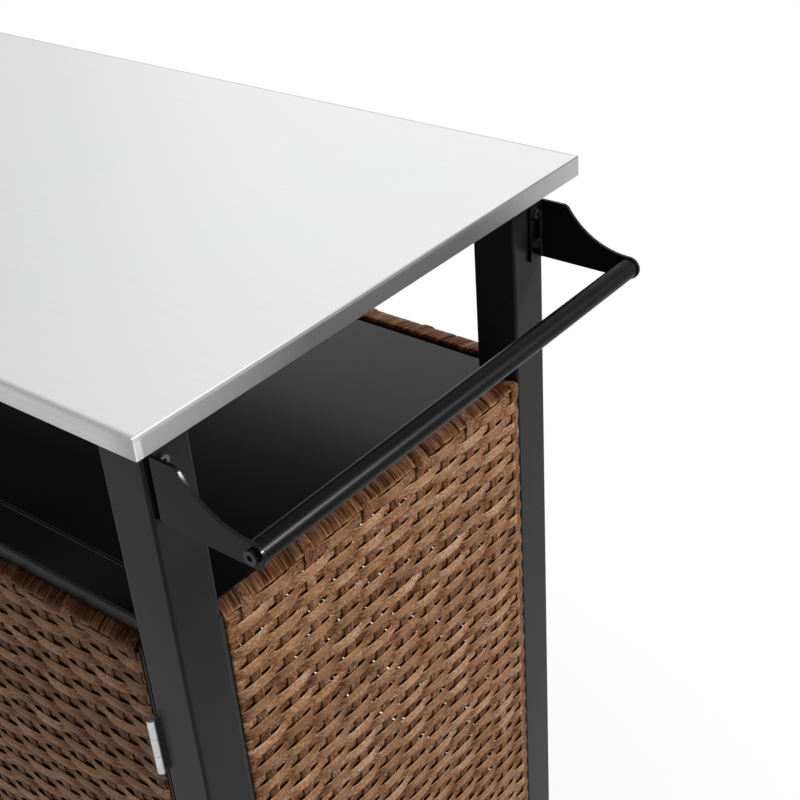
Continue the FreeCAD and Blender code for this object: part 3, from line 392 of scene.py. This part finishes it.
# Fixings: pressed steel nuts on the worktop's studs and turned inserts in the ends of the handle bar, both
# zinc-plated, and the blackened screws that hold the trays and the woven panels.
def zinc(start):
    """Bright zinc plate, spangled in tone and gloss."""
    spangle = start.noise(start.here(), 160.0, 2.0)
    return {"Base Color": spangle.shades(rgb(0.50, 0.51, 0.53), rgb(0.62, 0.63, 0.64)), "Metallic": 1.0,
            "Roughness": 0.28 + 0.15 * spangle}


zinc_plate = finish("zinc_plate", zinc)
dress(zinc_plate, "worktop_nuts", "handle_bar_inserts")
dress(blackened_screw, "tray_screws", "panel_screws")


# Woven panels: flat strip of mixed brown resin woven over and under upright stakes of the same strip, on a
# frame of square bar in a dark coat. The top and bottom bars are wound with strip too, and every second
# stake loops over them.
def frame_coat(start):
    """Near-black paint with a brown cast, clouded and pebbled."""
    cloud = start.noise(start.here(), 30.0, 3.0)
    pebble = start.noise(start.here(), 900.0, 1.0)
    return {"Base Color": cloud.shades(rgb(0.010, 0.009, 0.008), rgb(0.018, 0.016, 0.015)),
            "Roughness": 0.48 + 0.12 * cloud, "Specular IOR Level": 0.3,
            "Normal": start.bump(pebble, 0.00006, 0.6)}


frame_paint = finish("panel_frame", frame_coat)
dress(frame_paint, "end_panel_frame_left", "end_panel_frame_right", "back_panel_frame")
strip_half_width = 0.0050
strip_thickness = 0.0010
strip_crown = 0.00032
strip_stock = 7.0
over_stake = 0.0010
behind_stake = -0.0023
bar_face = -0.0030
bar_width = 0.012
side_margin = 0.0030
side_turn = 0.0042
rim_gap = 0.0026
edge_row_sink = 0.0004


def round_section(steps):
    """Places across a strip from -1 to 1, closer together near its edges."""
    return np.sin(np.linspace(-np.pi / 2, np.pi / 2, steps))


def band(path, normal, across, half_width, crown, steps):
    """Strips as closed surfaces: their outer faces follow path, their width runs along across.

    path and normal are (strips, points, 3) and path x across = normal. Across the width q goes from
    -1 to 1: the outer face is path + q * half_width * across - crown * q^2 * normal, the inner face
    lies a thickness behind it, and the edges between them are rounded off a little.
    Returns points (strips, points, 2 * steps, 3) and the q of each.
    """
    q = round_section(steps)
    edge = np.abs(q) ** 8 * 0.36 * strip_thickness
    lift = np.concatenate([-crown * q ** 2 - edge, (-strip_thickness - crown * q ** 2 + edge)[::-1]])
    q = np.concatenate([q, q[::-1]])
    width = np.broadcast_to(half_width, path.shape[:2])[:, :, None, None]
    points = (path[:, :, None, :] + q[None, None, :, None] * width * across[:, :, None, :]
              + lift[None, None, :, None] * normal[:, :, None, :])
    return points, q


def band_faces(strips, count, around):
    """Quads along closed strips, with the two ends of each strip closed."""
    i, j = np.meshgrid(np.arange(count - 1), np.arange(around), indexing="ij")
    turn = (j + 1) % around
    sides = np.stack([i * around + j, (i + 1) * around + j, (i + 1) * around + turn, i * around + turn], -1)
    k = np.arange(around // 2 - 1)
    start = np.stack([k, k + 1, around - 2 - k, around - 1 - k], -1)
    stop = start[:, ::-1] + (count - 1) * around
    one = np.concatenate([sides.reshape(-1, 4), start, stop])
    return (np.arange(strips)[:, None, None] * count * around + one[None]).reshape(-1, 4)


class Panel:
    """A woven panel: s runs to the right, h up and o out, from the lower left corner of its CAD slab.

    Row 0 lies under the top rim and is a little wider, the last row the same at the foot.
    A row lies over a stake where row + stake + first_over is odd, and behind it where it is even.
    The rims are wound up to so far from the sides as bare says.
    """

    last_stake_gap = 0.003

    def __init__(self, node, facing, first_stake, stake_pitch, row_pitch, edge_rows, first_over, bare=0.0):
        low, high = (np.array(corner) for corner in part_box(node))
        size = high - low
        right, out, corner, self.width = {
            "+X": ((0, 1, 0), (1, 0, 0), (high[0], low[1], low[2]), size[1]),
            "-X": ((0, -1, 0), (-1, 0, 0), (low[0], high[1], low[2]), size[1]),
            "-Y": ((1, 0, 0), (0, -1, 0), (low[0], low[1], low[2]), size[0]),
            "+Y": ((-1, 0, 0), (0, 1, 0), (high[0], high[1], low[2]), size[0])}[facing]
        self.right, self.out, self.corner = (np.array(v, float) for v in (right, out, corner))
        self.up = np.array([0.0, 0.0, 1.0])
        self.height = size[2]
        self.first_stake, self.stake_pitch, self.first_over = first_stake, stake_pitch, first_over
        self.seam, self.edge_row = edge_rows
        self.bare = bare
        self.inner_rows = int(round((self.height - 2 * self.edge_row) / row_pitch))
        self.row_pitch = (self.height - 2 * self.edge_row) / self.inner_rows
        room = self.width - first_stake - self.last_stake_gap
        self.stakes = first_stake + stake_pitch * np.arange(int(room / stake_pitch) + 1)

    def place(self, s, h, o):
        """Points of the cart from arrays of the panel's own three distances."""
        s, h, o = np.broadcast_arrays(s, h, o)
        return self.corner + s[..., None] * self.right + h[..., None] * self.up + o[..., None] * self.out

    def looped(self, row):
        """Which stakes loop over the rim beside this row: those that the row lies behind."""
        return (row + np.arange(len(self.stakes)) + self.first_over) % 2 == 0


def woven_object(name, groups, material, body):
    """One object from groups of strips, with a UV map of metres along and across, a tone per strip and
    how much wear and painted highlight it has at each point.
    """
    points, faces, uv, tone, worn = [], [], [], [], []
    total = 0
    for (grid, q), half_width, along, tones, highlight_and_wear in groups:
        strips, count, around, _ = grid.shape
        points.append(grid.reshape(-1, 3))
        faces.append(band_faces(strips, count, around) + total)
        u = np.broadcast_to(along[..., None], (strips, count, around))
        v = np.broadcast_to((q * half_width)[None, None, :], (strips, count, around))
        uv.append(np.stack([u, v], -1).reshape(-1, 2))
        tone.append(np.repeat(tones, count * around))
        worn.append(np.broadcast_to(highlight_and_wear, (strips, count, around)).ravel())
        total += strips * count * around
    points, faces, uv, tone, worn = (np.concatenate(part) for part in (points, faces, uv, tone, worn))
    piece = put_in_mesh(name, points, faces)
    piece.data.uv_layers.new(name="strip")
    piece.data.uv_layers["strip"].data.foreach_set("uv", uv[faces.ravel()].astype(np.float32).ravel())
    for label, values in (("tone", tone), ("worn", worn)):
        attribute = piece.data.attributes.new(label, "FLOAT", "POINT")
        attribute.data.foreach_set("value", values.astype(np.float32))
    piece.data.materials.append(material)
    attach(piece, body)
    return piece


def eased(x):
    """0 below 0, 1 above 1 and a smooth step between."""
    x = np.clip(x, 0.0, 1.0)
    return x * x * (3 - 2 * x)


def edge_wear_and_highlight(steps):
    """Wear and painted highlight round a strip's cross-section: near its two edges."""
    q = round_section(steps)
    q = np.concatenate([q, q[::-1]])
    return 0.6 * eased((np.abs(q) - 0.80) / 0.2)


row_sway = 0.0008
row_slack = 0.06
row_drift, drift_length = 0.00020, 0.23
row_shift = 0.00015
crowding = 0.45
sag_past_bar, bar_ease = 0.003, 0.006


def weavers(panel, random, per_pitch=10, steps=5, flat_at=(), flat_rows=()):
    """The level strips. Each goes out and back as a cosine of the way along, w = 1 over one stake and
    -1 behind the next, opposite from row to row. The cosine is flattened by 1.5 w - 0.5 w^3, and half as
    much again, and the points crowd where it is steep, halfway between stakes.
    It is held off the frame's bars, and turns back at the panel's sides.
    """
    rows = panel.inner_rows + 2
    row = np.arange(rows)[:, None]
    on_edge = (row == 0) | (row == rows - 1)
    count = int(panel.width / panel.stake_pitch * per_pitch)
    s = np.linspace(side_margin, panel.width - side_margin, count)[None, :]
    turns = 2 * np.pi * (s - panel.first_stake) / panel.stake_pitch
    inside = eased((np.minimum(s, panel.width - s) - side_margin - side_turn) / panel.stake_pitch)
    s = s + inside * crowding * panel.stake_pitch * np.sin(turns) / (2 * np.pi)
    h = panel.height - panel.edge_row - (row - 0.5) * panel.row_pitch
    edge_centre = (panel.edge_row + panel.seam + rim_gap) / 2
    h = np.where(row == 0, panel.height - edge_centre, np.where(row == rows - 1, edge_centre, h))
    half = np.where(on_edge, (panel.edge_row - panel.seam - rim_gap) / 2, strip_half_width)

    sway = row_sway * random.standard_normal((rows, 1))
    wave = np.cos(np.pi * (s + sway - panel.first_stake) / panel.stake_pitch)
    wave = -wave * (-1.0) ** (row + panel.first_over)
    reach = (over_stake - behind_stake) / 2 * (1 + row_slack * random.standard_normal((rows, 1)))
    flat = 1.5 * wave - 0.5 * wave ** 3
    o = (over_stake + behind_stake) / 2 + reach * (1.25 * flat - 0.25 * flat ** 3)

    held = bar_face + strip_thickness + strip_crown
    from_bar = np.minimum(s, panel.width - s) - bar_width
    for place in flat_at:
        from_bar = np.minimum(from_bar, np.abs(s - place) - bar_width / 2)
    from_bar = np.where(on_edge, 0.0, from_bar)
    for place in flat_rows:
        from_bar = np.where(np.abs(h - place) < bar_width, 0.0, from_bar)
    o = np.maximum(o, held - sag_past_bar * eased(from_bar / bar_ease))
    o = np.where(on_edge, np.maximum(o, -edge_row_sink) - edge_row_sink, o)
    past = np.clip(side_margin + side_turn - np.minimum(s, panel.width - s), 0.0, side_turn)
    o = np.maximum(o - (side_turn - np.sqrt(side_turn ** 2 - past ** 2)), held)
    drift = row_drift * np.sin(2 * np.pi * (s / drift_length + random.random((rows, 1))))
    h = h + drift + row_shift * random.standard_normal((rows, 1))

    path = panel.place(s, h, o)
    normal = np.broadcast_to(panel.out, path.shape)
    across = np.broadcast_to(panel.up, path.shape)
    along = np.broadcast_to(s + random.random((rows, 1)) * strip_stock, (rows, count))
    # The last term paints the floats over the stakes paler: a painted sheen where they face the light.
    return (band(path, normal, across, half, strip_crown, steps), strip_half_width, along,
            random.random(rows), edge_wear_and_highlight(steps) + 0.5 * eased(0.9 * wave)[:, :, None])


stake_shift = 0.0004
stake_crown = 0.0002
stake_depth, stake_swing = -0.0004, 0.0005
stake_under_rim, stake_under_row = 0.002, 0.45
points_per_row = 2.5


def uprights(panel, random, steps=4):
    """The stakes, a little further out in the rows that go behind them: o is a cosine of the row number.
    A stake that loops over a rim ends under the row next to that rim, where its loop begins.
    """
    under_rim = panel.seam + stake_under_rim
    under_row = panel.edge_row + stake_under_row * panel.row_pitch
    head = panel.height - np.where(panel.looped(0), under_row, under_rim)[:, None]
    foot = np.where(panel.looped(panel.inner_rows + 1), under_row, under_rim)[:, None]
    count = int(panel.inner_rows * points_per_row)
    h = head + (foot - head) * np.linspace(0.0, 1.0, count)[None, :]
    row = (panel.height - panel.edge_row - h) / panel.row_pitch + 0.5
    number = np.arange(len(panel.stakes))[:, None]
    o = stake_depth + stake_swing * np.cos(np.pi * (row + number + panel.first_over))
    s = panel.stakes[:, None] + stake_shift * random.standard_normal((len(number), 1))
    path = panel.place(s, h, o)
    normal = np.broadcast_to(panel.out, path.shape)
    across = np.broadcast_to(panel.right, path.shape)
    along = h + random.random((len(number), 1)) * strip_stock
    return (band(path, normal, across, strip_half_width, stake_crown, steps), strip_half_width, along,
            0.6 * random.random(len(number)) - 0.2, 0.4 * edge_wear_and_highlight(steps))


front_edge = -0.0008


def carried_round(panel, s, half, route, top_rim, lean):
    """Paths that follow a route of (out, height) pairs at places s, with their normals.

    At the foot of the panel the route is mirrored, and runs the other way so that normals point out.
    lean moves a path along s by so much for each metre that it runs behind the front edge, as far as
    the panel's sides let a strip of this half width go.
    """
    route = np.array(route)
    if top_rim:
        o, h = route[:, 0], panel.height + route[:, 1]
    else:
        o, h = route[::-1, 0], -route[::-1, 1]
    run = np.concatenate([[0.0], np.cumsum(np.hypot(np.diff(o), np.diff(h)))])
    path = panel.place(s[:, None], h[None, :], o[None, :])
    ahead = np.gradient(path, axis=1)
    ahead /= np.linalg.norm(ahead, axis=2, keepdims=True)
    normal = np.cross(ahead, np.broadcast_to(panel.right, path.shape))
    behind = np.minimum(run - run[np.argmax(o > front_edge)], 0.0)
    leaned = np.clip(s[:, None] + lean * behind[None, :], half, panel.width - half)
    return panel.place(leaned, h[None, :], o[None, :]), normal, run


wrap_width = 0.0102
wrap_crown = 0.00010
wrap_shift = 0.0005
wrap_lift = 0.00012
wrap_streak_along, wrap_streak_across = 0.10, 0.8


def wraps(panel, random, top_rim, lean, steps=8):
    """Strip wound round a bar of the frame: up its inside, over the top and a little way down the face,
    one turn after another along s. Each turn gets a painted highlight where it bends over the front edge.
    """
    seam = -panel.seam
    route = [(-0.0160, -0.0130), (-0.0160, -0.0020), (-0.0154, -0.0005), (-0.0140, 0.0), (-0.0090, 0.0001),
             (-0.0055, 0.0001), (-0.0030, -0.0001), (-0.0012, -0.0006), (-0.0001, -0.0012),
             (0.0007, -0.0019), (0.0010, 0.0010 + seam), (0.0006, 0.0007 + seam), (-0.0010, 0.0005 + seam)]
    # Painted highlight along the route where the turns bend over the front edge, more on some turns than
    # others.
    highlight_and_wear = np.array([0.0, 0.0, 0.0, 0.0, 0.0, 0.0, 0.0, 0.0, 0.2, 0.9, 1.4, 0.3, 0.0])
    highlight_and_wear = highlight_and_wear if top_rim else highlight_and_wear[::-1]
    wound = panel.width - 2 * panel.bare
    count = int(round(wound / wrap_width))
    width = wound / count
    s = panel.bare + (np.arange(count) + 0.5) * width + wrap_shift * random.standard_normal(count)
    half = 0.5 * width
    path, normal, run = carried_round(panel, s, half, route, top_rim, lean)
    path = path + wrap_lift * random.standard_normal((count, 1, 1)) * normal
    across = np.broadcast_to(panel.right, path.shape)
    along = wrap_streak_along * run[None, :] + random.random((count, 1)) * strip_stock
    return (band(path, normal, across, half, wrap_crown, steps), wrap_streak_across * half, along,
            0.5 * random.random(count) - 0.2, highlight_and_wear[None, :, None] * random.random((count, 1, 1)))


loop_crown = 0.0003


def loops(panel, random, top_rim, lean, steps=5):
    """The stakes that loop over a rim: they lie on its turns, come down over the row beside it and
    tuck under the next.
    """
    down = -panel.edge_row
    route = [(-0.0163, -0.0120), (-0.0163, -0.0020), (-0.0156, -0.0001), (-0.0140, 0.0007),
             (-0.0075, 0.0009), (-0.0026, 0.0009), (-0.0005, 0.0005), (0.0010, -0.0006), (0.0016, -0.0020),
             (0.0014, 0.45 * down), (0.0009, 0.70 * down), (0.0004, 0.90 * down), (-0.0003, 1.08 * down),
             (-0.0009, 1.30 * down), (-0.0009, 1.45 * down)]
    s = panel.stakes[panel.looped(0 if top_rim else panel.inner_rows + 1)]
    s = s + stake_shift * random.standard_normal(len(s))
    path, normal, run = carried_round(panel, s, strip_half_width, route, top_rim, lean)
    across = np.broadcast_to(panel.right, path.shape)
    along = run[None, :] + random.random((len(s), 1)) * strip_stock
    return (band(path, normal, across, strip_half_width, loop_crown, steps), strip_half_width, along,
            0.6 * random.random(len(s)) - 0.2, 0.4 * edge_wear_and_highlight(steps))


resin_browns = [(0.37, rgb(0.034, 0.011, 0.0035)), (0.45, rgb(0.109, 0.042, 0.016)),
                (0.54, rgb(0.217, 0.095, 0.040)), (0.63, rgb(0.42, 0.237, 0.124))]
fibre_brown = rgb(0.030, 0.010, 0.003)
wear_and_sheen_tan = rgb(0.56, 0.33, 0.175)
strips_apart = 37.0


def resin(start):
    """Extruded brown resin: tan, brown and grey mottled along the strip, under fine dark fibres.

    Its tone sets each strip apart in the noise, so that no two have the same pattern.
    """
    uv = start.node("UVMap", {"uv_map": "strip"})
    tone = start.node("Attribute", {"attribute_name": "tone"}, output="Fac")
    worn = start.node("Attribute", {"attribute_name": "worn"}, output="Fac")
    apart = start.node("CombineXYZ", inputs={"Z": strips_apart * tone})
    place = start.node("VectorMath", {"operation": "ADD"}, {0: uv, 1: apart})
    streak = start.noise(start.stretched(place, (140.0, 1000.0, 1.0)), 1.0, 3.0)
    mottle = start.noise(start.stretched(place, (360.0, 950.0, 1.0)), 1.0, 3.0)
    fibre = start.noise(start.stretched(place, (150.0, 2600.0, 1.0)), 1.0, 2.0)
    patch = start.noise(start.stretched(place, (26.0, 80.0, 1.0)), 1.0, 1.0)
    mixture = 0.24 * streak + 0.56 * mottle + 0.20 * patch + 0.10 * (tone - 0.5)
    colour = mixture.node("ValToRGB", {"stops": resin_browns}, {"Fac": mixture})
    greyed = start.node("HueSaturation", inputs={"Saturation": 0.78, "Color": colour})
    colour = (patch.between(0.46, 0.62) * (0.3 + 0.6 * tone)).mixed(colour, greyed)
    colour = (0.40 * fibre.between(0.52, 0.66)).mixed(colour, fibre_brown)
    # Paler tan where strips are worn at their edges, plus painted highlights and sheen on the edges, the
    # floats and the wraps' front bends.
    colour = (0.36 * worn).mixed(colour, wear_and_sheen_tan)
    height = 0.4 * streak + 0.3 * fibre + 0.3 * mottle
    return {"Base Color": colour, "Roughness": 0.34 + 0.16 * mottle, "Specular IOR Level": 0.05,
            "Normal": start.bump(height, 0.00022, 0.8)}


woven_resin = finish("woven_resin", resin)


def weave(label, node, body, panel, seed, lean=-0.45, **shape):
    """Everything that is woven on one panel, in three objects; the strips stand for the CAD slab."""
    random = np.random.default_rng(seed)
    skin = woven_object(f"{label}_strips", [weavers(panel, random, **shape)], woven_resin, body)
    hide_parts(node)
    woven_object(f"{label}_stakes", [uprights(panel, random)], woven_resin, body)
    rims = [part(panel, random, top_rim, lean * top_rim)
            for top_rim in (True, False) for part in (wraps, loops)]
    woven_object(f"{label}_rims", rims, woven_resin, body)


stake_pitch = 0.0325
row_pitch = 0.00965
panel_edge_rows = (0.0032, 0.0162)
end_first_stake, back_first_stake = 0.0215, 0.0165
for side, facing, seed in (("right", "+X", 3), ("left", "-X", 4)):
    node = f"end_panel_weave_{side}"
    end_panel = Panel(node, facing, end_first_stake, stake_pitch, row_pitch, panel_edge_rows, first_over=0)
    weave(f"end_panel_{side}", node, "cart", end_panel, seed)
back_panel = Panel("back_panel_weave", "+Y", back_first_stake, stake_pitch, row_pitch, panel_edge_rows,
                   first_over=0)
weave("back_panel", "back_panel_weave", "cart", back_panel, seed=5, per_pitch=7, steps=4,
      flat_at=(back_panel.width / 2,))


# Doors: a pair of the same woven frames on zinc-plated pin hinges, with a bar across each behind its knob.
# The knobs are turned from stainless steel, and steel plates on the backs of the frames meet the catch.
dress(frame_paint, "door_frame_left", "door_frame_right")
dress(finish("stainless", brushed, tone_of=steel_tone), "door_knob_left", "door_knob_right")
for side in ("left", "right"):
    dress(zinc_plate, f"door_strike_{side}", f"hinge_leg_leaves_{side}", f"hinge_door_leaves_{side}",
          f"hinge_pins_{side}")
knob_low, knob_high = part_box("door_knob_left")
knob_bar = (knob_low[2] + knob_high[2]) / 2
door_stake_pitch = 0.0327
door_row_pitch = 0.0104
door_edge_rows = (0.0034, 0.0136)
door_bare_sides = 0.0080
for side, seed, first_stake, first_over in (("left", 6, 0.0160, 0), ("right", 7, 0.0222, 1)):
    node = f"door_weave_{side}"
    door = Panel(node, "-Y", first_stake, door_stake_pitch, door_row_pitch, door_edge_rows, first_over,
                 door_bare_sides)
    weave(f"door_{side}", node, f"door_{side}", door, seed, lean=0.45,
          flat_rows=(knob_bar - door.corner[2],))


# Catch: a moulded black plastic case with two magnets in it, fixed under the front rail of the deck,
# where both doors close on it.
def moulded(start, dark, light):
    """Moulded plastic: a fine spark-eroded skin over a slightly clouded tone."""
    cloud = start.noise(start.here(), 60.0, 3.0)
    pebble = start.noise(start.here(), 1100.0, 1.0)
    return {"Base Color": cloud.shades(dark, light), "Roughness": 0.42 + 0.14 * cloud,
            "Specular IOR Level": 0.4, "Normal": start.bump(pebble, 0.00007, 0.7)}


dress(finish("black_plastic", moulded, dark=rgb(0.012, 0.012, 0.013), light=rgb(0.022, 0.022, 0.023)),
      "door_catch")


# Casters: zinc-plated stems, forks and axles with grey moulded wheels, a black rubber tyre on each, and a
# dark nylon foot pedal on the two that have a brake.
dress(zinc_plate, "caster_stems",
      *(f"caster_{part}_{corner}" for part in ("fork", "axle") for corner in corner_names))
tyre_radius = 0.0285
tyre_seam = 0.0003


def tyred_wheel(start, centre):
    """One wheel: rubber outside the tyre's inner radius, grey plastic inside it."""
    place = start.here()
    spoke = start.node("VectorMath", {"operation": "SUBTRACT"}, {0: place, 1: centre})
    radius = start.distance(start.stretched(spoke, (1.0, 0.0, 1.0)))
    rubber = radius.between(tyre_radius - tyre_seam, tyre_radius + tyre_seam)
    made = moulded(start, rgb(0.085, 0.086, 0.088), rgb(0.115, 0.116, 0.118))
    black = start.noise(place, 120.0, 3.0).shades(rgb(0.018, 0.018, 0.019), rgb(0.034, 0.034, 0.035))
    made["Base Color"] = rubber.mixed(made["Base Color"], black)
    made["Roughness"] = made["Roughness"] + 0.2 * rubber
    return made


for corner in corner_names:
    low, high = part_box(f"caster_wheel_{corner}")
    middle = [(a + b) / 2 for a, b in zip(low, high)]
    dress(finish(f"wheel_{corner}", tyred_wheel, centre=middle), f"caster_wheel_{corner}")
dress(finish("pedal_nylon", moulded, dark=rgb(0.030, 0.031, 0.033), light=rgb(0.048, 0.049, 0.051)),
      "caster_brake_front_right", "caster_brake_back_right")
